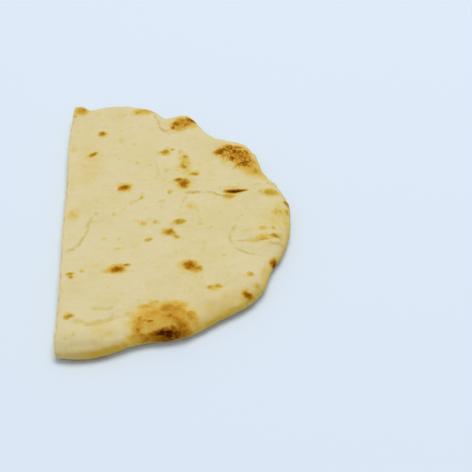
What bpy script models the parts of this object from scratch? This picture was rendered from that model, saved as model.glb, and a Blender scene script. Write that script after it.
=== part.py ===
"""Half a naan: a flat leavened bread, knife-cut straight across and lying on its underside.

Seen from above it is a D. The straight side is the cut and the round side is the baked rim.
X runs from the cut to the rim, Y along the cut and Z up. The origin lies under the middle of
the bread's box, on the surface that it rests on.

The bread starts as a cube cut into cells. Each corner point of a cell has a share from 0 to 1
along X, Y and Z, and shape_point moves it to its place in the baked dough.
"""

import math

import bmesh
import bpy
import numpy as np
from mathutils import Matrix, Vector, kdtree, noise

MM = 0.001

# Driving sizes.
CUT_LENGTH = 225 * MM
REACH = 130 * MM  # from the cut to the furthest point of the rim
THICKNESS = 9.0 * MM  # of the flat middle
WAIST = 4.6 * MM  # height of the rim's outermost line
TOP_ROUND = 9.0 * MM  # how far in the top takes to reach its full height
SOLE_ROUND = 5.0 * MM  # how far in the underside takes to reach the table
RIM_SWELL = 1.3 * MM  # the rim puffs up by this much
RIM_SWELL_PLACE = 11.0 * MM  # from the rim's outermost line
RIM_SWELL_WIDTH = 8.0 * MM

# Slow waves of the baked dough.
WAVE_HEIGHT = 1.1 * MM
WAVE_LENGTH = 42.0 * MM
SOLE_LIFT = 0.9 * MM  # hollows of the underside, between the spots that touch
SOLE_WAVE_LENGTH = 38.0 * MM
SOLE_FLAT = 0.12  # share of a wave that stays down on the table

# The cells: along X, along Y and through the thickness.
CELLS = (36, 68, 4)
CROWDING = 0.6  # how much closer the cells lie near the rim
LIP = 1.0 * MM  # the last of the rim's roundness, made by the walls of the cells

# The cut and the rim seen from above, as shares of REACH and CUT_LENGTH. The knife's cut bows
# out a little. The dents and bulges of the rim are the edges of the bubbles on it.
CUT_EDGE = (
    (0.000, 0.000),
    (-0.001, 0.200),
    (-0.006, 0.400),
    (-0.010, 0.600),
    (-0.016, 0.800),
    (-0.012, 0.920),
    (0.000, 1.012),
)
NEAR_RIM = (
    (0.000, 0.000),
    (0.080, -0.008),
    (0.154, -0.008),
    (0.236, 0.006),
    (0.319, 0.024),
    (0.429, 0.030),
    (0.505, 0.039),
    (0.574, 0.059),
    (0.660, 0.091),
    (0.749, 0.120),
    (0.816, 0.159),
)
ROUND_RIM = (
    (0.850, 0.201),
    (0.874, 0.240),
    (0.919, 0.282),
    (0.966, 0.344),
    (0.992, 0.419),
    (0.997, 0.500),
    (0.963, 0.571),
    (0.914, 0.632),
    (0.900, 0.690),
    (0.876, 0.740),
    (0.830, 0.780),
    (0.769, 0.798),
    (0.700, 0.820),
    (0.640, 0.880),
)
FAR_RIM = (
    (0.594, 0.929),
    (0.540, 0.939),
    (0.474, 0.930),
    (0.425, 0.964),
    (0.373, 0.994),
    (0.300, 1.003),
    (0.190, 1.006),
    (0.115, 0.998),
    (0.083, 0.994),
    (0.050, 1.013),
    (0.000, 1.012),
)

# Bubbles in the dough, in millimetres and degrees, measured from the near end of the cut:
# (across, along, length, width, turn of the length from X, height).
BUBBLES = (
    (3, 224, 16, 13, 0, 2.2),  # on the far corner
    (29, 220, 46, 20, 0, 1.3),  # along the far rim
    (71, 203, 30, 20, -12, 2.0),
    (104, 162, 48, 26, -52, 1.8),  # the long brown one
    (119, 121, 34, 26, -68, 1.1),
    (111, 79, 42, 36, 25, 2.2),  # the broad one on the round rim
    (98, 41, 30, 26, 60, 1.3),
    (78, 30, 26, 22, 30, 0.9),
    (57, 15, 44, 28, 8, 2.3),  # the golden one on the near rim
    (18, 7, 52, 22, -4, 1.8),  # the roll along the near rim
    (65, 150, 30, 46, 0, 0.9),
    (2, 94, 28, 52, -6, 1.2),
    (74, 104, 24, 20, 0, 0.7),
    (36, 150, 44, 60, 20, 0.7),
    (47, 62, 60, 34, 15, 0.6),
)

# Folds between the bubbles: (depth, width, points), in millimetres as above.
FOLDS = (
    (1.0, 4.5, ((2, 20), (12, 16), (21, 16), (32, 21), (43, 25), (54, 29))),
    (0.6, 5.0, ((96, 92), (92, 84), (93, 74), (97, 66), (106, 61), (114, 58))),
    (0.9, 3.5, ((52, 207), (55, 194), (61, 187), (70, 186), (82, 189))),
    (0.7, 3.5, ((4, 72), (12, 83), (15, 96), (20, 104), (27, 112))),
    (0.8, 4.0, ((62, 108), (68, 117), (76, 121), (88, 120), (104, 119))),
)

CRUST_COLOUR = (0.72, 0.60, 0.32, 1.0)
CRUST_ROUGHNESS = 0.85

NODE_NAME = "naan_half"


def smooth_line(stations, steps):
    """A Catmull-Rom curve through the stations, as an array with steps points a span."""
    ends = [2 * stations[0] - stations[1], *stations, 2 * stations[-1] - stations[-2]]
    line = []
    for before, start, end, after in zip(ends, ends[1:], ends[2:], ends[3:]):
        for t in np.arange(steps) / steps:
            line.append(
                start
                + 0.5 * t * (end - before)
                + t**2 * (before - 2.5 * start + 2 * end - 0.5 * after)
                + t**3 * (1.5 * start - 0.5 * before - 1.5 * end + 0.5 * after)
            )
    return np.array([*line, stations[-1]])


def even_stretch(line, values, first, last):
    """Looks up the line's values from 0 at index first to 1 at index last, by its length."""
    part = line[first : last + 1]
    length = np.append(0.0, np.cumsum(np.linalg.norm(np.diff(part, axis=0), axis=1)))
    share = length / length[-1]
    kept = values[first : last + 1]
    return lambda t: np.array([np.interp(t, share, kept[:, axis]) for axis in (0, 1)])


class Plan:
    """The D seen from above: where each corner of the cells lies."""

    STEPS = 24

    def __init__(self):
        size = np.array((REACH, CUT_LENGTH))
        rim = smooth_line(np.array((*NEAR_RIM, *ROUND_RIM, *FAR_RIM)) * size, self.STEPS)
        tangent = np.gradient(rim, axis=0)
        outward = np.stack([tangent[:, 1], -tangent[:, 0]], axis=1)
        outward /= np.linalg.norm(outward, axis=1)[:, None]
        outward[0], outward[-1] = (0, -1), (0, 1)  # both ends stay on the cut
        inset = rim - outward * LIP
        cut = smooth_line(np.array(CUT_EDGE) * size, self.STEPS)
        cut[:, 1] = np.interp(cut[:, 1], cut[[0, -1], 1], inset[[0, -1], 1])
        near_end = (len(NEAR_RIM) - 1) * self.STEPS
        far_start = (len(NEAR_RIM) + len(ROUND_RIM)) * self.STEPS
        stretches = ((0, near_end), (near_end, far_start), (far_start, len(rim) - 1))
        places = [even_stretch(inset, inset, *ends) for ends in stretches]
        self.ways_out = [even_stretch(inset, outward, *ends) for ends in stretches]
        self.places = blended(even_stretch(cut, cut, 0, len(cut) - 1), *places)
        self.tree = kdtree.KDTree(len(rim))
        for index, (x, y) in enumerate(rim):
            self.tree.insert((x, y, 0), index)
        self.tree.balance()

    def outward(self, u, v):
        """The way out of the bread at a point of its rim."""
        if v in (0, 1):
            return self.ways_out[2](1 - u) if v else self.ways_out[0](u)
        return self.ways_out[1](v)

    def depth(self, place):
        """How far inside the rim's outermost line a place is."""
        return self.tree.find((place[0], place[1], 0))[2]


def blended(cut, near, round_side, far):
    """A grid of places that blends the four sides over the whole D."""
    across = [crowded(share, both_ends=False) for share in np.linspace(0, 1, CELLS[0] + 1)]
    along = [crowded(share, both_ends=True) for share in np.linspace(0, 1, CELLS[1] + 1)]
    corners = near(0), near(1), far(1), far(0)
    grid = np.empty((len(across), len(along), 2))
    for i, u in enumerate(across):
        for j, v in enumerate(along):
            sides = (1 - u) * cut(v) + u * round_side(v) + (1 - v) * near(u) + v * far(1 - u)
            from_near = (1 - u) * corners[0] + u * corners[1]
            from_far = (1 - u) * corners[2] + u * corners[3]
            grid[i, j] = sides - (1 - v) * from_near - v * from_far
    return grid


def bubble_height(place):
    total = 0.0
    for across, along, length, width, turn, height in BUBBLES:
        offset = place - np.array((across, along)) * MM
        angle = math.radians(turn)
        on_length = (offset[0] * math.cos(angle) + offset[1] * math.sin(angle)) / length
        on_width = (offset[1] * math.cos(angle) - offset[0] * math.sin(angle)) / width
        away = 4 * (on_length**2 + on_width**2) / MM**2
        if away < 1:
            total += height * MM * (1 - away) ** 2
    return total


def fold_depth(place):
    total = 0.0
    for depth, width, points in FOLDS:
        nearest = min(
            distance_to_span(place, np.array(start) * MM, np.array(end) * MM)
            for start, end in zip(points, points[1:])
        )
        total += depth * MM * math.exp(-((2 * nearest / (width * MM)) ** 2))
    return total


def distance_to_span(place, start, end):
    span = end - start
    share = np.clip((place - start) @ span / (span @ span), 0, 1)
    return np.linalg.norm(place - start - share * span)


def rounded(depth, reach):
    """The height of a quarter round, from 0 at its edge to 1 at its reach."""
    left = max(0.0, 1 - depth / reach)
    return math.sqrt(1 - left * left)


def top_height(place, depth):
    swell = RIM_SWELL * math.exp(-(((depth - RIM_SWELL_PLACE) / RIM_SWELL_WIDTH) ** 2))
    wave = WAVE_HEIGHT * noise.noise(Vector((*(place / WAVE_LENGTH), 0.3)))
    crown = THICKNESS + swell + wave + bubble_height(place) - fold_depth(place)
    return WAIST + (crown - WAIST) * rounded(depth, TOP_ROUND)


def sole_height(place, depth):
    wave = noise.noise(Vector((*(place / SOLE_WAVE_LENGTH), 7.7)))
    sole = SOLE_LIFT * max(0.0, wave - SOLE_FLAT)
    return WAIST - (WAIST - sole) * rounded(depth, SOLE_ROUND)


def crowded(share, both_ends):
    """Moves even shares closer together towards 1, and also towards 0 for both ends."""
    if both_ends:
        curved = (1 - math.cos(math.pi * share)) / 2
    else:
        curved = math.sin(math.pi * share / 2)
    return (1 - CROWDING) * share + CROWDING * curved


def shape_point(plan, cell_corner):
    """Moves a corner of a cell from its shares of the cube to its place in the bread."""
    u, v, w = (round(share, 5) for share in cell_corner)
    place = plan.places[round(u * CELLS[0]), round(v * CELLS[1])]
    if w in (0, 1):
        depth = plan.depth(place)
        height = top_height(place, depth) if w == 1 else sole_height(place, depth)
        return (*place, height)
    if u == 0 and v not in (0, 1):
        depth = plan.depth(place)
        low, high = sole_height(place, depth), top_height(place, depth)
        return (*place, low + w * (high - low))
    turn = (2 * w - 1) * math.pi / 2
    depth = LIP * (1 - math.cos(turn))
    low, high = sole_height(place, depth), top_height(place, depth)
    way_out = plan.outward(crowded(u, both_ends=False), crowded(v, both_ends=True))
    edge = place + way_out * (LIP - depth)
    return (*edge, high if turn > 0 else low)


def cell_cube(cells):
    """A cube from 0 to 1 along each axis, its faces cut into cells."""
    cube = bmesh.new()
    bmesh.ops.create_cube(cube, size=1.0, matrix=Matrix.Translation((0.5, 0.5, 0.5)))
    for axis, count in enumerate(cells):
        along = [
            edge
            for edge in cube.edges
            if abs(edge.verts[0].co[axis] - edge.verts[1].co[axis]) > 0.5
        ]
        bmesh.ops.subdivide_edges(cube, edges=along, cuts=count - 1, use_grid_fill=True)
    return cube


def crust_material():
    material = bpy.data.materials.new("baked_crust")
    material.use_nodes = True
    shader = material.node_tree.nodes["Principled BSDF"]
    shader.inputs["Base Color"].default_value = CRUST_COLOUR
    shader.inputs["Roughness"].default_value = CRUST_ROUGHNESS
    shader.inputs["Metallic"].default_value = 0.0
    return material


def clear_scene():
    for thing in list(bpy.data.objects):
        bpy.data.objects.remove(thing)


def build():
    clear_scene()
    bread = cell_cube(CELLS)
    plan = Plan()
    for corner in bread.verts:
        corner.co = shape_point(plan, corner.co)
    low = [min(corner.co[axis] for corner in bread.verts) for axis in range(3)]
    high = [max(corner.co[axis] for corner in bread.verts) for axis in range(3)]
    middle = Vector(((low[0] + high[0]) / 2, (low[1] + high[1]) / 2, low[2]))
    bmesh.ops.translate(bread, verts=bread.verts, vec=-middle)
    mesh = bpy.data.meshes.new(NODE_NAME)
    bread.to_mesh(mesh)
    bread.free()
    mesh.materials.append(crust_material())
    mesh.shade_smooth()
    naan = bpy.data.objects.new(NODE_NAME, mesh)
    collection = bpy.data.collections.new("naan")
    bpy.context.scene.collection.children.link(collection)
    collection.objects.link(naan)
    return naan


build()
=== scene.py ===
"""The baked look of half a naan, as a Blender add-on that is also run as a script.

The bread is shaped from its solid. It gets small even faces, then creases, blisters and dough
grain on the crust, and open pores on the cut. Fields on its points say how far each place is
baked and where shade is painted, in the creases, the pores and on the rim's sides, and one
material turns them into cream, gold, brown and char. Places on the bread are in millimetres
from the near end of the cut: across towards the round rim, and along the cut.
"""

import math
import random
from typing import NamedTuple

import bpy
import numpy as np
from bpy.props import FloatProperty, FloatVectorProperty, IntProperty, PointerProperty
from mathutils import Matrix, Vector, noise


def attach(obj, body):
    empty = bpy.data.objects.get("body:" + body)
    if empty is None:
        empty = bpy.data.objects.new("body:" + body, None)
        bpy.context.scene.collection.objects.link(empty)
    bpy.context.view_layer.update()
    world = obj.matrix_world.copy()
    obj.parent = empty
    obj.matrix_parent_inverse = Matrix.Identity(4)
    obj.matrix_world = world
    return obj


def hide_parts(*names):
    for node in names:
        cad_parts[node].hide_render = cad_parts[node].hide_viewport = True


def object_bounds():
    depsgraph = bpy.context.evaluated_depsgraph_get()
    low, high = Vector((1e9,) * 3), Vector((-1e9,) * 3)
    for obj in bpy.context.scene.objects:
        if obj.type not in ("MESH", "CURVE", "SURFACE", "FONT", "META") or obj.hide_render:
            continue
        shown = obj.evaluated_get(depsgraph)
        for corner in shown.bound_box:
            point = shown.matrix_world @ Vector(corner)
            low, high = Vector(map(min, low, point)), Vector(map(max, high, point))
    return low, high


bl_info = {
    "name": "Half Naan",
    "version": (1, 0, 0),
    "blender": (4, 5, 0),
    "location": "View3D > Sidebar > Naan",
    "description": "Gives half a naan its folds, blisters, browning and crumb",
    "category": "Add Mesh",
}

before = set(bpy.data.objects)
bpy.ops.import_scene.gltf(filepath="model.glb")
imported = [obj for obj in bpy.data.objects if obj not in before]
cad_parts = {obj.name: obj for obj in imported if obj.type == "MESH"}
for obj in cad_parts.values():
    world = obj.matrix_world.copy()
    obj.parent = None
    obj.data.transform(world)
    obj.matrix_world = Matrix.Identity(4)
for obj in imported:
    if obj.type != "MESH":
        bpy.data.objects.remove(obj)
SOLID_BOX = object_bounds()

NODE = "naan_half"
BREAD = "baked_naan"
MM = 0.001
CUT_BOW = 2.07 * MM  # how far the knife's cut bows out past its near end
NEAR_BULGE = 2.1 * MM  # how far the near rim bulges past that end
CUT_CORNER = Vector((SOLID_BOX[0].x + CUT_BOW, SOLID_BOX[0].y + NEAR_BULGE, 0.0))


class Oval(NamedTuple):
    """A place on the bread seen from above, in millimetres and degrees, and how it is browned.

    Browning is 0 on pale dough, 0.25 where it turns tan, 0.5 golden, 0.8 brown, 1.1 dark brown
    and 1.4 charred.
    """

    across: float
    along: float
    length: float
    width: float
    turn: float
    browning: float


def ovals(*rows):
    return [Oval(*row) for row in rows]


# Browned places. A few on the sides of the near rim and the round rim are darkened further with painted
# shade.
SPOTS = ovals(
    # the bubble on the far corner
    (5.6, 217.5, 8.5, 10, 0, 0.62),
    (6.4, 218.5, 3.5, 4, 0, 0.88),
    (1.0, 211.5, 2.4, 3.4, 0, 0.50),
    # along the far rim
    (42.5, 212.0, 5.5, 4, 15, 0.66),
    (47.5, 215.0, 7, 5.5, 15, 0.54),
    (67.0, 196.0, 6, 5.5, 30, 0.90),
    (76.8, 199.5, 7.5, 5.5, 20, 0.98),
    (64.6, 193.0, 2.8, 3, 0, 1.00),
    # the pale middle
    (18.9, 190.7, 4.2, 5.6, 0, 0.98),
    (14.0, 167.5, 5.8, 4.3, 40, 0.92),
    (59.0, 166.3, 5, 7, -30, 0.78),
    (63.8, 168.6, 2.5, 2.5, 0, 0.60),
    (71.0, 159.5, 3, 5.5, 0, 0.66),
    (70.0, 153.5, 2.5, 7, 0, 0.56),
    (69.5, 149.0, 4, 6, 0, 0.72),
    (76.0, 140.5, 5, 4, 0, 0.84),
    (66.4, 135.0, 5.4, 4.3, -20, 1.04),
    (69.6, 131.6, 5.6, 8.2, -8, 1.00),
    (34.0, 129.2, 7.0, 5.6, 15, 1.04),
    (60.2, 123.5, 3.2, 4.4, 0, 0.50),
    (74.2, 122.2, 2.5, 2.2, 0, 0.60),
    (44.0, 119.5, 2.4, 3.4, 0, 0.46),
    (64.9, 94.2, 6.4, 4, 0, 0.76),
    (59.0, 85.8, 7, 5, -8, 0.84),
    (63.0, 81.6, 4.4, 3, -40, 0.60),
    (47.2, 80.4, 4.6, 2.6, 15, 0.58),
    (44.7, 95.0, 4, 4, 0, 0.42),
    (51.5, 95.7, 2.8, 2.6, 0, 0.50),
    (30.6, 56.2, 8.4, 5.4, 5, 0.98),
    (35.4, 59.3, 4.6, 2, 15, 0.76),
    (69.3, 56.8, 7, 7, 0, 0.96),
    (72.6, 53.6, 6.6, 5, 0, 0.80),
    (6.0, 54.5, 4.5, 2.4, 0, 0.70),
    (6.3, 52.0, 2.2, 3.6, 0, 0.70),
    (11.6, 56.3, 4, 2.6, 0, 0.36),
    (7.0, 22.6, 5, 3.6, 0, 0.82),
    (6.8, 75.2, 2.4, 3.4, -30, 0.28),
    # the charred slit and what is round it
    (97.9, 121.4, 9.4, 3.8, 0, 1.50),
    (101.4, 121.3, 7.6, 2.7, 0, 1.45),
    (95.2, 116.6, 7.5, 4.8, 0, 0.60),
    (119.5, 116.4, 8, 4.4, 0, 0.36),
    (113.6, 118.0, 2.4, 2.2, 0, 0.44),
    # the darkest blisters of the arch
    (92.6, 162.2, 7, 4.2, 0, 1.00),
    (104.0, 163.2, 8, 3, 0, 0.86),
    (108.0, 147.8, 4.4, 4.2, 0, 1.12),
    # along the round rim
    (128.3, 107.6, 4.5, 5, 0, 0.98),
    (127.0, 99.6, 2.6, 4.4, 0, 0.62),
    (119.8, 96.3, 4, 3.4, 0, 0.34),
    (117.5, 91.5, 2.8, 3.6, 0, 0.30),
    (111.5, 82.5, 7, 4.6, 0, 0.38),
    (103.0, 83.0, 7, 4.6, 0, 0.20),
    (117.2, 82.7, 2.8, 3.4, 0, 0.44),
    (117.3, 75.6, 6.0, 3.4, 6, 0.86),
    (110.6, 72.6, 7, 2, 4, 0.58),
    (104.0, 75.9, 4, 3.4, 0, 0.22),
    # partly real char on the rim's side, partly painted shadow of the gap beside the rim
    (116.0, 56.4, 6.5, 6.5, 20, 1.35),
    (100.4, 43.6, 3.6, 3.6, 0, 0.66),
    (103.6, 37.0, 4, 2.8, 0, 0.50),
    (97.5, 31.0, 5, 4, 0, 1.18),
    (79.3, 36.5, 4, 3.6, 0, 0.66),
    (83.0, 37.2, 4.4, 5, 0, 0.64),
    # the golden patch where the near rim rolls under, and its char; the side under the char is browned
    # darker, partly real browning and partly painted shade of the gap under the rim
    (45.7, 27.8, 6.0, 2.8, 0, 0.46),
    (50.6, 30.4, 3.6, 2.4, 0, 0.36),
    (56.0, 23.2, 9.4, 11.5, 0, 0.72),
    (57.4, 15.8, 5.0, 4.0, 0, 0.76),
    (60.2, 14.0, 10, 4.2, -48, 0.68),
    (62.8, 11.2, 6.5, 4.2, -20, 0.88),
    # partly painted shade under the rim's lip
    (64.0, 9.2, 10, 8.5, 0, 0.82),
    (42.2, 17.0, 4.6, 3.0, 35, 0.66),
    (45.0, 15.2, 4.0, 2.0, 0, 0.60),
    (47.4, 14.2, 4.6, 2.2, 0, 0.84),
    (41.4, 9.7, 3.8, 3.6, 0, 0.86),
    (55.4, 8.2, 16.5, 3.4, 0, 1.62),
    (59.4, 9.4, 6.0, 3.0, -15, 1.10),
    # the side under the char: partly real browning, partly painted shade
    (55.5, 6.2, 20, 4.2, 0, 1.10),
    (63.8, 18.8, 3.2, 6.4, 0, 0.46),
    # partly painted shade under the rim's lip
    (68.0, 16.8, 6.2, 6.4, 0, 0.60),
)

# Soft tan and golden tones without an edge of their own. One on the near rim's side also holds painted
# shade.
GLOWS = ovals(
    # the far rim, with its corner
    (5.5, 216.5, 11, 12, 0, 0.50),
    (15.6, 212.5, 5, 6, 0, 0.24),
    (31.5, 210.0, 9, 7, 0, 0.20),
    (46.0, 213.8, 16, 8, 8, 0.48),
    (72.0, 196.3, 20, 12, 28, 0.56),
    (104.3, 154.8, 27, 14, -45, 0.62),
    (98.0, 158.5, 18, 11, -25, 0.42),
    (112.2, 140.2, 25, 15, -60, 0.42),
    # along the cut
    (2.5, 176.0, 8, 14, 0, 0.24),
    (2.5, 140.0, 7, 60, 0, 0.15),
    (13.0, 160.0, 24, 66, 0, 0.19),
    (5.5, 106.0, 9, 13, 0, 0.30),
    # faint marks in the pale middle
    (31.9, 182.0, 8, 9, 0, 0.19),
    (39.5, 176.0, 3.4, 7, 0, 0.22),
    (71.6, 150.5, 28, 9, -83, 0.36),
    (56.0, 114.0, 3, 4, 0, 0.32),
    (55.0, 107.7, 5, 4, 0, 0.25),
    (73.0, 107.5, 7, 8, 0, 0.30),
    (78.3, 91.4, 5, 5, 0, 0.28),
    (77.6, 75.8, 4.5, 4, 0, 0.24),
    (23.1, 84.1, 3, 4, 0, 0.32),
    (31.4, 83.2, 3, 4, 0, 0.30),
    (31.0, 74.3, 7, 2.6, 0, 0.30),
    (40.3, 76.4, 6, 11, 0, 0.18),
    (27.8, 105.6, 4, 3.6, 0, 0.34),
    (38.8, 115.0, 2.6, 7, -25, 0.28),
    (43.2, 119.6, 5, 3, 40, 0.24),
    (34.3, 108.1, 3.4, 4, 0, 0.22),
    (25.5, 55.6, 7, 5, 0, 0.42),
    (71.5, 52.8, 9, 6, 0, 0.48),
    # the round rim
    (98.0, 125.0, 7, 4, 0, 0.30),
    (95.0, 117.0, 8, 5, 0, 0.38),
    (119.0, 116.4, 13, 6, 0, 0.54),
    (124.2, 98.9, 4.6, 4, 0, 0.42),
    (125.0, 92.0, 7, 36, 4, 0.28),
    (117.5, 88.0, 18, 32, 0, 0.21),
    (109.0, 74.8, 16, 5, 0, 0.40),
    (109.5, 46.0, 7, 30, -12, 0.26),
    (103.5, 33.5, 13, 9, 20, 0.32),
    (101.0, 31.3, 10, 5, 10, 0.48),
    (81.2, 36.4, 12, 8, 0, 0.36),
    # the near rim
    (13.4, 17.4, 5, 4, 0, 0.28),
    (24.4, 16.8, 13, 4.6, 14, 0.20),
    (23.3, 27.0, 9, 4.6, 0, 0.14),
    (32.0, 21.6, 9, 4.6, 12, 0.16),
    (26.4, 8.8, 6, 6, 0, 0.28),
    (24.0, 8.5, 20, 13, 0, 0.20),
    (51.5, 18.0, 31, 23, -8, 0.48),
    (58.0, 20.5, 18, 19, -15, 0.60),
    (61.0, 14.2, 15, 9, -40, 0.68),
    (41.8, 13.4, 10, 15, 0, 0.58),
    (46.0, 27.2, 12, 5, 10, 0.40),
    (63.4, 18.6, 8, 12, 0, 0.46),
    (68.5, 13.0, 15, 8, 12, 0.44),
    # the side under the char: partly real browning, partly painted shade of the gap under the rim
    (47.5, 7.2, 21, 6.5, 0, 0.78),
    (88.0, 26.0, 50, 14, 27, 0.21),
)

# Patches where small blisters stand side by side, their rims browned.
NETS = ovals(
    # the arch of blisters on the far rim
    (93.7, 162.5, 9, 5.5, 0, 0.96),
    (99.0, 163.0, 10, 9, -20, 0.84),
    (104.0, 157.0, 15, 15, -40, 0.94),
    (103.0, 152.5, 13, 8, -45, 0.90),
    (107.8, 148.0, 9, 12.5, -45, 0.98),
    (98.5, 156.5, 11, 7, -30, 0.82),
    (112.6, 140.8, 17, 9, -60, 0.54),
    # the far rim and the round rim
    (5.6, 217.5, 8, 9, 0, 0.54),
    (71.5, 196.5, 17, 11, 28, 0.68),
    (119.0, 116.3, 12, 5, 0, 0.58),
    (121.0, 97.0, 10, 9, 0, 0.46),
    # the golden patch on the near rim
    (60.0, 19.0, 12, 12, -20, 0.46),
    (42.0, 13.6, 8, 12, 0, 0.46),
)

# Creases of the crust: (depth, width, route), in millimetres.
CREASES = (
    # by the cut
    (0.38, 0.7, ((3, 72.5), (7.3, 76), (12.8, 87), (13.7, 93), (13.6, 98), (15.6, 102.5), (18, 105.5))),
    (0.24, 0.6, ((14, 98.4), (17, 98.4), (20, 99), (23, 101.5), (28, 105.6))),
    (0.12, 0.6, ((15.8, 113.6), (20, 111.4), (23.3, 112))),
    (0.11, 0.7, ((10.8, 123), (9.4, 115), (8.7, 107))),
    (0.14, 0.6, ((6, 50.7), (4, 47.4), (2, 44))),
    (0.11, 0.8, ((21.3, 147), (20.3, 139), (18, 131))),
    # from the far rim down the middle
    (0.32, 0.8, ((53.4, 211), (54.3, 204), (55.2, 197), (57.5, 191.3), (60.7, 188.3), (62.5, 185.5))),
    (0.16, 0.7, ((54, 169.5), (53, 158), (53, 149), (54, 143), (57, 136), (61, 133.6), (64.4, 128.4))),
    (0.13, 0.7, ((74.5, 167.5), (77.6, 165.5), (81.3, 165))),
    (0.24, 0.7, ((37.7, 112.6), (39.5, 115.4), (41.8, 117), (44.2, 119.8), (44.8, 124.6))),
    (0.11, 0.6, ((68.2, 93.5), (73.8, 92.6), (79.5, 92.2))),
    # to the slit and past it
    (0.64, 0.65, ((71, 122.6), (76.6, 122.4), (82.4, 122.1), (86, 120.6), (90, 118), (93, 116.6))),
    (0.20, 0.7, ((71.7, 121.2), (69.2, 117.7), (66.7, 112), (66, 107))),
    (0.11, 0.6, ((73, 135.5), (80, 134), (88, 133))),
    (0.21, 0.7, ((101.4, 128.6), (108, 125.5), (114, 125.3))),
    (0.18, 0.7, ((118, 124.5), (123, 126), (126, 128))),
    # on the round rim
    (0.31, 0.75, ((96.8, 88.6), (93.5, 84), (92.6, 79), (92.8, 74), (95, 69), (100, 63), (104, 62))),
    (0.42, 0.7, ((97, 75), (103, 72.4), (109.6, 71.6), (114, 72.4), (117.8, 75.2), (121, 77.6))),
    (0.34, 0.7, ((113.8, 69.5), (117.2, 69.6), (121.2, 70.4))),
    (0.24, 0.8, ((125.8, 102.7), (126.6, 95), (126, 87), (125.2, 79), (122.5, 71.4))),
    # on the near rim
    (0.36, 1.9, ((11.6, 18), (14.7, 16), (18.5, 14.8), (21.5, 16.8), (27, 18.3), (29.4, 21))),
    (0.30, 1.7, ((29.4, 21), (32.4, 21.6), (36.4, 22.4))),
    (0.22, 1.7, ((19.5, 26.8), (27.5, 26.8))),
    (0.27, 0.7, ((43, 10), (47.3, 10.4), (51.2, 9.6), (56.2, 9.8), (60.2, 10.4))),
)


def screen(red, green, blue):
    """A colour given as seen on a screen, from 0 to 255, as the linear one that shaders use."""
    shares = [value / 255 for value in (red, green, blue)]
    return tuple(s / 12.92 if s <= 0.04045 else ((s + 0.055) / 1.055) ** 2.4 for s in shares)


def colour_property(name, description, default):
    return FloatVectorProperty(
        name=name, description=description, default=default, subtype="COLOR", min=0.0, max=1.0
    )


def length_property(name, description, millimetres):
    return FloatProperty(
        name=name, description=description, default=millimetres * MM, min=0.0, unit="LENGTH"
    )


class NaanDough(bpy.types.PropertyGroup):
    """Sizes of the bread's surface."""

    face_size: length_property("Face size", "Side of the underside's faces, the largest", 1.6)
    blister_rise: length_property("Blister rise", "How far a browned blister stands up", 0.42)
    grain: length_property("Dough grain", "Height of the unevenness of the dough", 0.42)
    pore_depth: length_property("Pore depth", "Depth of the largest pores of the cut", 1.5)
    bubble_count: IntProperty(
        name="Small bubbles", description="Pale bubbles all over the crust", default=320, min=0
    )


class NaanColours(bpy.types.PropertyGroup):
    """Colours of the bread, from pale dough to char, with the painted shade of its creases, pores and
    rim.
    """

    dough: colour_property("Dough", "Pale baked dough", screen(217, 203, 158))
    flour: colour_property("Flour", "Dough with a dusting of flour", screen(226, 215, 180))
    warm: colour_property("Warm dough", "Slightly more baked dough", screen(215, 200, 147))
    # partly real toasting, partly painted shade on the rim's sides
    toast_and_shade: colour_property("Toasted rim", "The sides of the rim", screen(207, 169, 64))
    # painted shade: the darker colour laid along the creases
    crease_shade: colour_property("Crease", "The bottom of a crease", screen(192, 171, 78))
    tan: colour_property("Tan", "The edge of a browned patch", screen(214, 185, 92))
    gold: colour_property("Gold", "A golden patch", screen(202, 153, 53))
    brown: colour_property("Brown", "A browned patch", screen(168, 109, 14))
    deep: colour_property("Deep brown", "A dark browned patch", screen(136, 80, 0))
    straw: colour_property("Straw", "The edge of a small spot", screen(212, 187, 100))
    khaki: colour_property("Khaki", "A small spot, lightly baked", screen(199, 165, 68))
    olive: colour_property("Olive brown", "A small browned spot", screen(171, 136, 34))
    umber: colour_property("Umber", "A small dark spot", screen(142, 105, 20))
    char: colour_property("Char", "The darkest places", screen(74, 27, 0))
    crumb: colour_property("Crumb", "The inside of the bread", screen(246, 227, 177))
    # painted shade: the darker colour of the crumb down in the pores
    pore_shade: colour_property("Pore", "The bottom of a pore", screen(205, 169, 104))


class NaanStage(bpy.types.PropertyGroup):
    """The floor, the light and the camera."""

    floor_colour: colour_property("Floor", "Pale floor", screen(219, 230, 242))
    sky_colour: colour_property("Sky", "Light from all round", (0.93, 0.96, 1.0))
    sky_strength: FloatProperty(
        name="Sky strength", description="Brightness of the light from all round", default=0.56
    )
    key_power: FloatProperty(
        name="Key power", description="Power of the large soft light", default=49.9, unit="POWER"
    )
    lens: FloatProperty(name="Lens", description="Focal length", default=70.55, unit="CAMERA")


# ---------------------------------------------------------------------------------------------
# Helpers


def select_only(thing):
    bpy.ops.object.select_all(action="DESELECT")
    thing.select_set(True)
    bpy.context.view_layer.objects.active = thing


def apply_modifier(thing, kind, name, **settings):
    modifier = thing.modifiers.new(name, kind)
    for key, value in settings.items():
        setattr(modifier, key, value)
    select_only(thing)
    bpy.ops.object.modifier_apply(modifier=modifier.name)


def points_of(mesh):
    """The mesh's points in millimetres from the near end of the cut."""
    points = np.empty(len(mesh.vertices) * 3, np.float32)
    mesh.vertices.foreach_get("co", points)
    return (points.reshape(-1, 3).astype(float) - np.array(CUT_CORNER)) / MM


def normals_of(mesh):
    normals = np.empty(len(mesh.vertices) * 3, np.float32)
    mesh.vertex_normals.foreach_get("vector", normals)
    return normals.reshape(-1, 3).astype(float)


def move_points(mesh, places):
    """Puts the mesh's points at places in millimetres from the near end of the cut."""
    world = places * MM + np.array(CUT_CORNER)
    mesh.vertices.foreach_set("co", world.astype(np.float32).ravel())
    mesh.update()


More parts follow.
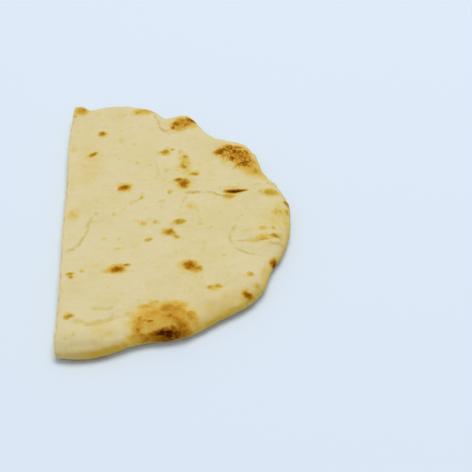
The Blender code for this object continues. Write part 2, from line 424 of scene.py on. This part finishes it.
def store(mesh, name, values):
    """Keeps a field on the mesh's points for the material."""
    field = mesh.attributes.new(name, "FLOAT", "POINT")
    field.data.foreach_set("value", np.asarray(values, np.float32))


def smooth_step(low, high, values):
    share = np.clip((values - low) / (high - low), 0, 1)
    return share * share * (3 - 2 * share)


def rough(points, size, seed):
    """Smooth noise from -1 to 1 with lumps of this size in millimetres."""
    shift = Vector((seed, 2.0 * seed, 0.5 * seed))
    return np.array([noise.noise(Vector(point / size) + shift) for point in points])


def spot_distance(points, spot):
    """How far out of an oval spot each point is: 0 in its middle and 1 at its edge."""
    angle = math.radians(spot.turn)
    x, y = points[:, 0] - spot.across, points[:, 1] - spot.along
    on_length = (x * math.cos(angle) + y * math.sin(angle)) * 2 / spot.length
    on_width = (y * math.cos(angle) - x * math.sin(angle)) * 2 / spot.width
    return np.hypot(on_length, on_width)


def wandering(points, amount, size, seed):
    """The points shifted sideways by noise, which makes the outline of a spot ragged."""
    shifted = points.copy()
    shifted[:, 0] += amount * rough(points, size, seed)
    shifted[:, 1] += amount * rough(points, size, seed + 5.5)
    return shifted


def spot_field(points, spots):
    """The browning of the spots: a ragged core, and a wider golden halo that wanders off it."""
    coarse = wandering(points, amount=1.1, size=4.5, seed=12.7)
    drift = wandering(coarse, amount=0.6, size=1.9, seed=4.1) - points
    loose = wandering(points, amount=3.4, size=5.0, seed=21.3)
    field = np.zeros(len(points))
    for spot in spots:
        close = points + drift * min(1.0, spot.width / 5.0)
        core = spot.browning * np.exp(-0.8 * spot_distance(close, spot) ** 2.6)
        wider = spot._replace(length=spot.length + 0.66 * spot.width, width=1.66 * spot.width)
        halo = 0.42 * min(spot.browning, 1.0) * np.exp(-spot_distance(loose, wider) ** 2.0)
        field = np.maximum(field, np.maximum(core, halo))
    return field


def patch_share(points):
    """1 on large dark places, which bake ruddy, and 0 on small light ones, which stay olive."""
    loose = wandering(points, amount=2.0, size=6.0, seed=14.9)
    share = np.zeros(len(points))
    for place in (*SPOTS, *GLOWS, *NETS):
        mean_size = math.sqrt(place.length * place.width)
        ruddy = smooth_step(3.6, 6.4, place.browning**1.5 * mean_size)
        share = np.maximum(share, ruddy * np.exp(-0.3 * spot_distance(loose, place) ** 2.6))
    return share


def glow_field(points):
    """The browning of the soft tones, strongest in the middle of each and fading out."""
    coarse = wandering(points, amount=2.6, size=6.0, seed=31.9)
    loose = wandering(coarse, amount=1.0, size=2.2, seed=8.3)
    field = np.zeros(len(points))
    for glow in GLOWS:
        tone = glow.browning * np.exp(-0.9 * spot_distance(loose, glow) ** 2.2)
        field = np.maximum(field, tone)
    return field


def crease_distance(points, route):
    """Millimetres from each point to a route, seen from above: below 0 on its right-hand side."""
    nearest = np.full(len(points), np.inf)
    for start, end in zip(route, route[1:]):
        start, span = np.array(start, float), np.subtract(end, start).astype(float)
        offset = points[:, :2] - start
        share = np.clip(offset @ span / (span @ span), 0, 1)
        away = offset - share[:, None] * span
        side = np.where(span[0] * away[:, 1] > span[1] * away[:, 0], 1.0, -1.0)
        distance = side * np.hypot(away[:, 0], away[:, 1])
        nearest = np.where(np.abs(distance) < np.abs(nearest), distance, nearest)
    return nearest


def rounded_route(route):
    """The route with its corners cut twice, so that it bends smoothly."""
    for _ in range(2):
        inner = []
        for start, end in zip(route, route[1:]):
            start, end = np.array(start, float), np.array(end, float)
            inner += [0.75 * start + 0.25 * end, 0.25 * start + 0.75 * end]
        route = [route[0], *inner, route[-1]]
    return route


def creasing(points):
    """Millimetres: the depth of the creases, the height of the fold by each, and the painted shade
    along them.
    """
    coarse = wandering(points, amount=1.2, size=6.0, seed=2.9)
    ragged = wandering(coarse, amount=0.5, size=1.8, seed=6.1)
    depths, folds, crease_shades = np.zeros((3, len(points)))
    for depth, width, route in CREASES:
        distance = crease_distance(ragged, rounded_route(route)) / width
        depths = np.maximum(depths, depth * np.exp(-(distance**2)))
        folds = np.maximum(folds, 0.55 * depth * np.exp(-(((distance - 2.6) / 1.5) ** 2)))
        # painted shade: a wider band along each crease, for the colour
        crease_shades = np.maximum(crease_shades, depth * np.exp(-((distance / 1.2) ** 2)))
    broad, fine = rough(points, size=6.5, seed=6.6), rough(points, size=2.4, seed=3.3)
    uneven = 0.8 * broad + 0.5 * fine
    strength = np.clip(0.62 + uneven, 0.26, 1.0)
    return depths * strength, folds * strength, crease_shades * strength


def halve_faces(bread, chosen):
    """Halves the sides of the faces whose points are all chosen."""
    select_only(bread)
    bpy.ops.object.mode_set(mode="EDIT")
    bpy.ops.mesh.select_mode(type="FACE")
    bpy.ops.mesh.select_all(action="DESELECT")
    bpy.ops.object.mode_set(mode="OBJECT")
    for face in bread.data.polygons:
        face.select = all(chosen[index] for index in face.vertices)
    bpy.ops.object.mode_set(mode="EDIT")
    bpy.ops.mesh.subdivide(number_cuts=1, smoothness=0.0)
    bpy.ops.object.mode_set(mode="OBJECT")


def scattered_bubbles(count):
    """Small bubbles all over the bread, drawn at random, with the browning of their tops."""
    draw = random.Random(11)
    size = np.array(SOLID_BOX[1] - SOLID_BOX[0]) / MM
    bubbles = []
    for _ in range(count):
        across, along = draw.uniform(0, size[0]), draw.uniform(0, size[1])
        length = draw.uniform(2.5, 9.0)
        width, turn = length * draw.uniform(0.5, 0.9), draw.gauss(0, 35)
        browning = draw.uniform(0.0, 1.0) ** 2
        bubbles.append(Oval(across, along, length, width, turn, browning))
    return bubbles


def past_cut(points):
    """How far each point is in from the knife's cut, found row by row, in millimetres."""
    row_length = 4.0
    rows = np.maximum(points[:, 1] / row_length, 0).astype(int)
    edge = np.full(rows.max() + 1, np.inf)
    np.minimum.at(edge, rows, points[:, 0])
    middles = (np.arange(len(edge)) + 0.5) * row_length
    return points[:, 0] - np.interp(points[:, 1], middles, edge)


# ---------------------------------------------------------------------------------------------
# The bread


class NAAN_OT_shape_dough(bpy.types.Operator):
    """Copies the bread's solid, gives it small even faces and softens it"""

    bl_idname = "naan.shape_dough"
    bl_label = "Shape the dough"

    def execute(self, context):
        dough = context.scene.naan_dough
        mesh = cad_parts[NODE].data.copy()
        mesh.name = BREAD
        mesh.materials.clear()
        bread = bpy.data.objects.new(BREAD, mesh)
        context.scene.collection.objects.link(bread)
        select_only(bread)
        bpy.ops.object.mode_set(mode="EDIT")
        bpy.ops.mesh.select_all(action="SELECT")
        bpy.ops.mesh.remove_doubles(threshold=0.001 * MM)
        bpy.ops.object.mode_set(mode="OBJECT")
        apply_modifier(bread, "REMESH", "Even faces", mode="VOXEL", voxel_size=dough.face_size)
        self.soften(bread, times=8)
        above_sole = normals_of(bread.data)[:, 2] > -0.35
        halve_faces(bread, above_sole)
        self.soften(bread, times=3)
        halve_faces(bread, self.has_detail(bread.data))
        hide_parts(NODE)
        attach(bread, "root")
        return {"FINISHED"}

    def has_detail(self, mesh):
        """Where the crust is browned or creased, which takes smaller faces."""
        points = points_of(mesh)
        upper = normals_of(mesh)[:, 2] > -0.1
        browned = np.maximum(spot_field(points, SPOTS), spot_field(points, NETS)) > 0.26
        return upper & (browned | (creasing(points)[0] > 0.05))

    def soften(self, bread, times):
        """Smooths the crust, and leaves the edges of the cut nearly as sharp as the knife did."""
        inside = smooth_step(0.8, 4.0, past_cut(points_of(bread.data)))
        away = bread.vertex_groups.new(name="away from the cut")
        for index, weight in enumerate(inside):
            away.add([index], 0.25 + 0.75 * float(weight), "REPLACE")
        apply_modifier(
            bread, "SMOOTH", "Soft crust", factor=0.5, iterations=times, vertex_group=away.name
        )
        bread.vertex_groups.clear()


class NAAN_OT_raise_crust(bpy.types.Operator):
    """Raises the blisters, presses the creases in and roughens the dough"""

    bl_idname = "naan.raise_crust"
    bl_label = "Raise the crust"

    def execute(self, context):
        dough = context.scene.naan_dough
        mesh = bpy.data.objects[BREAD].data
        points, normals = points_of(mesh), normals_of(mesh)
        top = smooth_step(0.1, 0.6, normals[:, 2])
        crust = smooth_step(0.3, 1.6, past_cut(points))
        height = self.dough_grain(points, dough.grain / MM)
        height += top * self.blisters(points, dough.blister_rise / MM)
        height += top * self.small_bubbles(points, dough.bubble_count)
        depths, folds, _ = creasing(points)
        height += top * (folds - depths)
        points += normals * (height * crust)[:, None]
        points[:, 2] = np.maximum(points[:, 2], 0.0)
        move_points(mesh, points)
        return {"FINISHED"}

    def dough_grain(self, points, height):
        """Broad and fine unevenness, and long shallow wrinkles that run across the bread."""
        broad = rough(points, size=17.0, seed=3.1)
        middle = rough(points, size=6.5, seed=8.4)
        fine = rough(points, size=2.6, seed=5.2)
        wrinkles = rough(points * np.array((0.32, 1.0, 1.0)), size=3.2, seed=7.7)
        return height * (0.8 * broad + 0.75 * middle + 0.3 * fine + 0.45 * wrinkles)

    def blisters(self, points, rise):
        """Each browned place is a low blister, and the darkest have burst in the middle."""
        ragged = wandering(points, amount=1.2, size=4.0, seed=12.7)
        domes, bursts = np.zeros(len(points)), np.zeros(len(points))
        for spot in SPOTS:
            distance = spot_distance(ragged, spot)
            domes = np.maximum(domes, min(spot.browning, 1.0) * np.exp(-1.2 * distance**2))
            if spot.browning > 0.9:
                bursts = np.maximum(bursts, spot.browning * np.exp(-5.0 * distance**2))
        net = spot_field(points, NETS)
        broad, fine = rough(points, size=3.6, seed=1.7), rough(points, size=1.8, seed=9.3)
        cells = np.abs(broad) + 0.5 * fine
        return rise * (domes - 1.4 * bursts + net * (0.3 + 1.3 * cells))

    def small_bubbles(self, points, count):
        """Pale bubbles, the longer the higher."""
        total = np.zeros(len(points))
        for bubble in scattered_bubbles(count):
            rise = 0.10 + 0.04 * bubble.length
            total += rise * np.exp(-1.6 * spot_distance(points, bubble) ** 2)
        return total


class NAAN_OT_open_crumb(bpy.types.Operator):
    """Opens the pores of the crumb where the knife went through"""

    bl_idname = "naan.open_crumb"
    bl_label = "Open the crumb"

    def execute(self, context):
        dough = context.scene.naan_dough
        bread = bpy.data.objects[BREAD]
        mesh = bread.data
        halve_faces(bread, self.cut_share(points_of(mesh), normals_of(mesh)) > 0.5)
        points = points_of(mesh)
        cut = self.cut_share(points, normals_of(mesh))
        pores = np.zeros(len(points))
        at_cut = cut > 0
        pores[at_cut] = self.pores(points[at_cut]) * cut[at_cut]
        points[:, 0] += pores * dough.pore_depth / MM
        move_points(mesh, points)
        store(mesh, "crumb", cut)
        # how deep each pore is, which the material paints as shade
        store(mesh, "pore_shade", pores)
        return {"FINISHED"}

    def cut_share(self, points, normals):
        """1 on the cut, falling to 0 where the crust begins."""
        return smooth_step(0.45, 0.9, -normals[:, 0]) * smooth_step(2.4, 1.2, past_cut(points))

    def pores(self, points):
        """Flattened pores of three sizes, each cell of the foam open or shut by its own draw."""
        depth = np.zeros(len(points))
        bent = wandering(points, amount=0.5, size=1.6, seed=17.3)
        for size, open_share, deepest in ((4.6, 0.45, 1.0), (2.3, 0.62, 0.6), (1.1, 0.8, 0.3)):
            for index, (x, y, z) in enumerate(bent):
                cell = Vector((x / size * 0.5, y / size * 0.5, z / size * 1.45))
                distances, centres = noise.voronoi(cell)
                drawn = noise.cell(centres[0] * 7.31)
                if drawn > open_share:
                    continue
                hole = max(0.0, 1 - distances[0] / (0.25 + 0.35 * abs(drawn)))
                depth[index] = max(depth[index], deepest * math.sqrt(hole))
        return depth


class NAAN_OT_brown_crust(bpy.types.Operator):
    """Stores how far each place of the crust is browned and where shade is painted on it, and gives it
    its material
    """

    bl_idname = "naan.brown_crust"
    bl_label = "Brown the crust"

    def execute(self, context):
        bread = bpy.data.objects[BREAD]
        mesh = bread.data
        points, normals = points_of(mesh), normals_of(mesh)
        top = smooth_step(-0.75, -0.2, normals[:, 2])
        sole = smooth_step(0.2, 0.8, -normals[:, 2])
        store(mesh, "browning", top * spot_field(points, SPOTS))
        store(mesh, "netting", top * spot_field(points, NETS))
        store(mesh, "glow", top * glow_field(points))
        store(mesh, "freckles", top * self.freckles(points, context.scene.naan_dough.bubble_count))
        store(mesh, "patch", np.maximum(patch_share(points), sole))
        # painted shade along the creases, for the material
        store(mesh, "creasing", top * creasing(points)[2])
        # the rim's sides: partly real toasting, partly painted shade
        store(mesh, "toast_and_shade", self.toast_and_shade(points, normals))
        store(mesh, "sole", sole)
        mesh.materials.append(bread_material(context.scene.naan_colours))
        mesh.shade_smooth()
        return {"FINISHED"}

    def freckles(self, points, count):
        """The tops of some of the small bubbles have caught the heat."""
        ragged = wandering(points, amount=1.2, size=2.5, seed=6.2)
        total = np.zeros(len(points))
        for bubble in scattered_bubbles(count):
            top = bubble.browning * np.exp(-2.2 * spot_distance(ragged, bubble) ** 2)
            total = np.maximum(total, top)
        return total

    def toast_and_shade(self, points, normals):
        """The rim's sides are darker and more golden, and the near rim more than the rest: partly real
        toasting, partly painted shade.
        """
        across, along = points[:, 0], points[:, 1]
        from_near_rim = along - 0.22 * across + 4 * rough(points, size=14.0, seed=2.2)
        near = smooth_step(24, 2, from_near_rim)
        off_cut = smooth_step(4, 26, across)
        side = 1 - smooth_step(0.26, 0.94, np.abs(normals[:, 2]))
        on_side = side * (0.42 + 0.36 * off_cut + 0.24 * near * off_cut)
        on_top = near * (0.02 + 0.20 * smooth_step(20, 75, across))
        return np.clip(on_side + on_top, 0, 1)


# ---------------------------------------------------------------------------------------------
# The material

# Where a ramp of browned crust changes colour, and how far along it a browning of 1 lies.
RAMP_PLACES = (0.17, 0.33, 0.56, 0.78, 1.0)
RAMP_PER_BROWNING = 0.7


class Nodes:
    """Adds nodes to a material and links them."""

    def __init__(self, material):
        material.use_nodes = True
        self.tree = material.node_tree
        self.shader = self.tree.nodes["Principled BSDF"]
        self.place = self.add("ShaderNodeTexCoord").outputs["Object"]

    def add(self, kind, settings=None, **inputs):
        node = self.tree.nodes.new(kind)
        for key, value in (settings or {}).items():
            setattr(node, key, value)
        for key, value in inputs.items():
            self.feed(node, key.replace("_", " "), value)
        return node

    def feed(self, node, key, value):
        socket = next(s for s in node.inputs if s.enabled and s.name.lower() == key.lower())
        if isinstance(value, bpy.types.NodeSocket):
            self.tree.links.new(value, socket)
        else:
            socket.default_value = value

    def field(self, name):
        return self.add("ShaderNodeAttribute", {"attribute_name": name}).outputs["Fac"]

    def noise(self, millimetres, detail=3.0, roughness=0.55, output="Fac"):
        made = self.add(
            "ShaderNodeTexNoise",
            vector=self.place,
            scale=1 / (millimetres * MM),
            detail=detail,
            roughness=roughness,
        )
        return made.outputs[output]

    def wandering_place(self, millimetres, amount):
        """The place shifted by noise, up to about this amount in millimetres."""
        drift = self.noise(millimetres, output="Color")
        centred = self.add("ShaderNodeVectorMath", {"operation": "SUBTRACT"})
        self.tree.links.new(drift, centred.inputs[0])
        centred.inputs[1].default_value = (0.5, 0.5, 0.5)
        shifted = self.add("ShaderNodeVectorMath", {"operation": "MULTIPLY_ADD"})
        self.tree.links.new(centred.outputs[0], shifted.inputs[0])
        shifted.inputs[1].default_value = (4 * amount * MM,) * 3
        self.tree.links.new(self.place, shifted.inputs[2])
        return shifted.outputs[0]

    def cells(self, millimetres, place, feature, output):
        made = self.add(
            "ShaderNodeTexVoronoi", {"feature": feature}, vector=place, scale=1 / (millimetres * MM)
        )
        return made.outputs[output]

    def math(self, operation, first, second=0.0, third=0.0):
        node = self.add("ShaderNodeMath", {"operation": operation})
        for socket, value in zip(node.inputs, (first, second, third)):
            if isinstance(value, bpy.types.NodeSocket):
                self.tree.links.new(value, socket)
            else:
                socket.default_value = value
        return node.outputs[0]

    def span(self, value, low, high, start=0.0, end=1.0):
        """The value's place between low and high, as a share from start to end."""
        node = self.add(
            "ShaderNodeMapRange",
            {"interpolation_type": "SMOOTHSTEP"},
            value=value,
            from_min=low,
            from_max=high,
            to_min=start,
            to_max=end,
        )
        return node.outputs["Result"]

    def blend(self, share, first, second):
        node = self.add("ShaderNodeMix", {"data_type": "RGBA"}, factor=share)
        for key, colour in (("A", first), ("B", second)):
            if not isinstance(colour, bpy.types.NodeSocket):
                colour = (*colour, 1.0)
            self.feed(node, key, colour)
        return next(s for s in node.outputs if s.enabled)

    def ramp(self, browning, colours):
        """The colours of browned crust, from the edge of a browned place to char."""
        reached = self.math("MULTIPLY", browning, RAMP_PER_BROWNING)
        node = self.add("ShaderNodeValToRGB", fac=reached)
        elements = node.color_ramp.elements
        while len(elements) < len(colours):
            elements.new(1.0)
        for element, place, colour in zip(elements, RAMP_PLACES, colours):
            element.position = place
            element.color = (*colour, 1.0)
        return node.outputs["Color"]


def bread_material(colours):
    material = bpy.data.materials.new("baked naan")
    make = Nodes(material)
    dough = dough_colour(make, colours)
    browning = crust_browning(make)
    small = (colours.straw, colours.khaki, colours.olive, colours.umber, colours.char)
    large = (colours.tan, colours.gold, colours.brown, colours.deep, colours.char)
    spots, patches = make.ramp(browning, small), make.ramp(browning, large)
    browned = make.blend(make.field("patch"), spots, patches)
    crust = make.blend(make.span(browning, 0.07, 0.32), dough, browned)
    # painted shade: the crumb darkens towards the bottom of each pore
    crumb = make.blend(make.span(make.field("pore_shade"), 0.05, 1.0), colours.crumb, colours.pore_shade)
    skin = make.blend(make.span(make.field("crumb"), 0.35, 0.85), crust, crumb)
    make.feed(make.shader, "Base Color", skin)
    make.feed(make.shader, "Roughness", make.span(browning, 0.3, 1.1, 0.78, 0.6))
    make.feed(make.shader, "Specular IOR Level", 0.03)
    make.feed(make.shader, "Subsurface Weight", 0.10)
    make.feed(make.shader, "Subsurface Radius", (1.0, 0.65, 0.30))
    make.feed(make.shader, "Subsurface Scale", 1.5 * MM)
    make.feed(make.shader, "Normal", fine_grain(make, browning))
    return material


def dough_colour(make, colours):
    """Dough in soft patches, floured and specked, with painted shade along its creases, and on the
    rim's sides toasted and painted with shade.
    """
    patches = make.span(make.noise(19.0, detail=4.0), 0.38, 0.66)
    plain = make.blend(patches, colours.dough, colours.warm)
    dusting = make.span(make.noise(2.2, detail=5.0, roughness=0.7), 0.52, 0.74, end=0.45)
    floured = make.blend(dusting, plain, colours.flour)
    specks = make.span(make.noise(3.4, detail=4.0, roughness=0.65), 0.54, 0.70, end=0.5)
    among = make.span(make.noise(13.0), 0.42, 0.62)
    specked = make.blend(make.math("MULTIPLY", specks, among), floured, colours.tan)
    # painted shade: the creases get a darker colour along them
    crease_shade_share = make.span(make.field("creasing"), 0.02, 0.24, end=0.52)
    crease_shaded = make.blend(crease_shade_share, specked, colours.crease_shade)
    mottle = make.span(make.noise(8.0), 0.2, 0.7, 0.86, 1.16)
    # the rim's sides darker and golden: partly real toasting, partly painted shade
    return make.blend(make.math("MULTIPLY", make.field("toast_and_shade"), mottle), crease_shaded, colours.toast_and_shade)


def crust_browning(make):
    """How browned each place is: the most that any of the fields gives, each broken up by noise."""
    grain = make.span(make.noise(1.7, detail=4.0, roughness=0.65), 0.25, 0.75, 0.76, 1.24)
    broken_up_by = {
        "browning": grain,
        "netting": joined_blisters(make),
        "glow": make.span(make.noise(3.2, detail=4.0), 0.3, 0.7, 0.78, 1.12),
        "freckles": make.span(grain, 0.8, 1.2, 0.16, 0.42),
        "sole": make.span(make.noise(15.0, detail=4.0, roughness=0.6), 0.42, 0.76, 0.05, 0.85),
    }
    most = 0.0
    for name, texture in broken_up_by.items():
        most = make.math("MAXIMUM", most, make.math("MULTIPLY", make.field(name), texture))
    return most


def joined_blisters(make):
    """Small blisters side by side: golden tops, brown rims between them, a few dark ones."""
    place = make.wandering_place(3.0, amount=1.0)
    rims = make.span(make.cells(2.8, place, "DISTANCE_TO_EDGE", "Distance"), 0.0, 0.24, 1.20, 0.52)
    draw = make.add("ShaderNodeSeparateColor", color=make.cells(2.8, place, "F1", "Color"))
    dark = make.span(draw.outputs[0], 0.60, 0.95, end=0.32)
    patches = make.span(make.noise(5.0, detail=4.0), 0.32, 0.66, 0.62, 1.12)
    return make.math("MULTIPLY", make.math("ADD", rims, dark), patches)


def fine_grain(make, browning):
    """Bumps too small for the mesh: the dough's grain, and wrinkles on browned places."""
    grain = make.noise(1.3, detail=5.0, roughness=0.6)
    wrinkles = make.math("MULTIPLY", make.noise(0.8, detail=3.0), browning)
    height = make.math("ADD", grain, wrinkles)
    bump = make.add("ShaderNodeBump", strength=0.5, distance=0.2 * MM, height=height)
    return bump.outputs["Normal"]


# ---------------------------------------------------------------------------------------------
# The stage

CAMERA_PLACE = Vector((61.7, -318.5, 333.3)) * MM  # from the near end of the cut
CAMERA_AIM = Vector((0.0666, 0.7735, -0.6303))


class NAAN_OT_set_stage(bpy.types.Operator):
    """Lays the pale floor, hangs the soft light and puts up the camera"""

    bl_idname = "naan.set_stage"
    bl_label = "Set the stage"

    def execute(self, context):
        stage = context.scene.naan_stage
        self.lay_floor(stage)
        self.hang_light(stage)
        self.light_sky(context.scene, stage)
        self.put_up_camera(context.scene, stage)
        context.scene.view_settings.view_transform = "Standard"
        return {"FINISHED"}

    def lay_floor(self, stage):
        bpy.ops.object.select_all(action="DESELECT")
        bpy.ops.mesh.primitive_plane_add(size=6.0, location=(0, 0, -0.05 * MM))
        floor = bpy.context.object
        floor.name = "floor"
        material = bpy.data.materials.new("pale floor")
        make = Nodes(material)
        make.feed(make.shader, "Base Color", (*stage.floor_colour, 1.0))
        make.feed(make.shader, "Roughness", 0.9)
        make.feed(make.shader, "Specular IOR Level", 0.1)
        floor.data.materials.append(material)

    def hang_light(self, stage):
        light = bpy.data.lights.new("soft light", "AREA")
        light.shape = "DISK"
        light.size = 2.0
        light.energy = stage.key_power
        light.color = (1.0, 0.985, 0.96)
        lamp = bpy.data.objects.new("soft light", light)
        lamp.location = (0.3, 0.6, 2.9)
        lamp.rotation_euler = (-lamp.location).to_track_quat("-Z", "Y").to_euler()
        bpy.context.scene.collection.objects.link(lamp)

    def light_sky(self, scene, stage):
        world = bpy.data.worlds.new("sky")
        world.use_nodes = True
        background = world.node_tree.nodes["Background"]
        background.inputs["Color"].default_value = (*stage.sky_colour, 1.0)
        background.inputs["Strength"].default_value = stage.sky_strength
        scene.world = world

    def put_up_camera(self, scene, stage):
        data = bpy.data.cameras.new("camera")
        data.sensor_width = 36.0
        data.lens = stage.lens
        camera = bpy.data.objects.new("camera", data)
        camera.location = CUT_CORNER + CAMERA_PLACE
        camera.rotation_euler = CAMERA_AIM.to_track_quat("-Z", "Y").to_euler()
        scene.collection.objects.link(camera)
        scene.camera = camera


class NAAN_PT_panel(bpy.types.Panel):
    """The steps that make the bread, with their sizes and colours"""

    bl_idname = "NAAN_PT_panel"
    bl_label = "Half Naan"
    bl_space_type = "VIEW_3D"
    bl_region_type = "UI"
    bl_category = "Naan"

    def draw(self, context):
        for operator in OPERATORS:
            self.layout.operator(operator.bl_idname)
        for name, group in GROUPS.items():
            column = self.layout.column(align=True)
            for setting in group.__annotations__:
                column.prop(getattr(context.scene, name), setting)


GROUPS = {"naan_dough": NaanDough, "naan_colours": NaanColours, "naan_stage": NaanStage}
OPERATORS = (
    NAAN_OT_shape_dough,
    NAAN_OT_raise_crust,
    NAAN_OT_open_crumb,
    NAAN_OT_brown_crust,
    NAAN_OT_set_stage,
)


def register():
    for made in (*GROUPS.values(), *OPERATORS, NAAN_PT_panel):
        bpy.utils.register_class(made)
    for name, group in GROUPS.items():
        setattr(bpy.types.Scene, name, PointerProperty(type=group))


def unregister():
    for name in GROUPS:
        delattr(bpy.types.Scene, name)
    for made in (NAAN_PT_panel, *reversed(OPERATORS), *GROUPS.values()):
        bpy.utils.unregister_class(made)


def main():
    register()
    bpy.ops.naan.shape_dough()
    bpy.ops.naan.raise_crust()
    bpy.ops.naan.open_crumb()
    bpy.ops.naan.brown_crust()
    bpy.ops.naan.set_stage()


if __name__ == "__main__":
    main()
